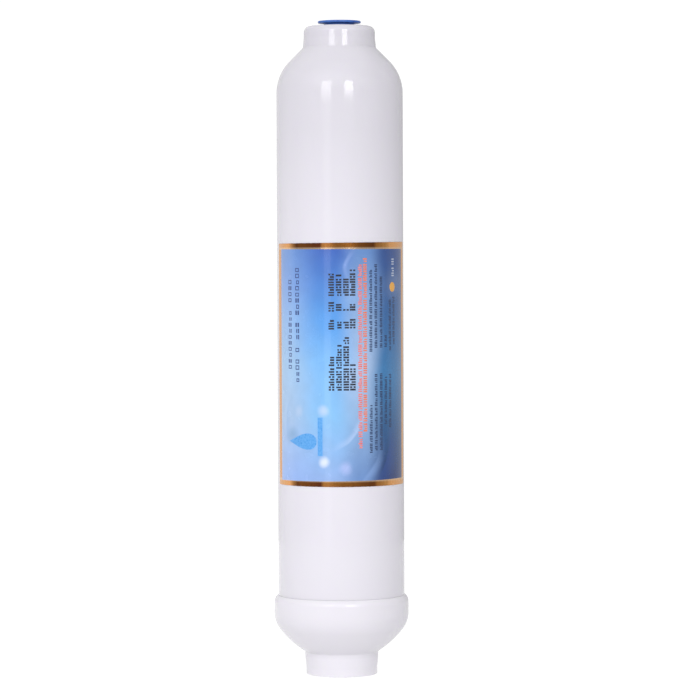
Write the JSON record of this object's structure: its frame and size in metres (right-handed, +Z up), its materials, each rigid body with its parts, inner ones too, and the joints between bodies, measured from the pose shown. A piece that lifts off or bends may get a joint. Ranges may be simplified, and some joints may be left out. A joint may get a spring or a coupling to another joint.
{
  "type": "inline water filter",
  "caption": "Upright white plastic water filter cartridge with a domed inlet end, a welded domed outlet cap, a wrap label, a round neck at each end and a blue dust plug.",
  "frame": {"origin": "centre of the outlet neck's end face, on which the cartridge stands", "axes": "+Z up the barrel from the outlet to the inlet, -Y through the middle of the label"},
  "size_m": [0.0532, 0.0532, 0.2588],
  "materials": {
    "housing_plastic": "glossy moulded white polypropylene",
    "cap_plastic": "glossy moulded white polypropylene, a shade more translucent",
    "label_film": "printed film label with a metallic gold border",
    "plug_plastic": "soft glossy blue polyethylene",
    "grid_plastic": "moulded natural polypropylene",
    "screen_nylon": "fine woven nylon screen",
    "foam": "open-cell foam pad",
    "felt": "needled polyester felt",
    "carbon": "loose granular activated carbon"
  },
  "bodies": {
    "cartridge": {"housing_body": "housing_plastic", "end_cap": "cap_plastic", "label": "label_film", "inlet_diffuser": "grid_plastic", "inlet_mesh": "screen_nylon", "inlet_foam": "foam", "inlet_felt": "felt", "carbon_bed": "carbon", "outlet_felt": "felt", "outlet_mesh": "screen_nylon", "outlet_grid": "grid_plastic"},
    "plug": {"inlet_plug": "plug_plastic"}
  },
  "joints": [
    {"name": "plug_pull", "type": "slide", "parent": "cartridge", "child": "plug", "axis": [0, 0, 1], "range_m": [0, 0.03]}
  ]
}
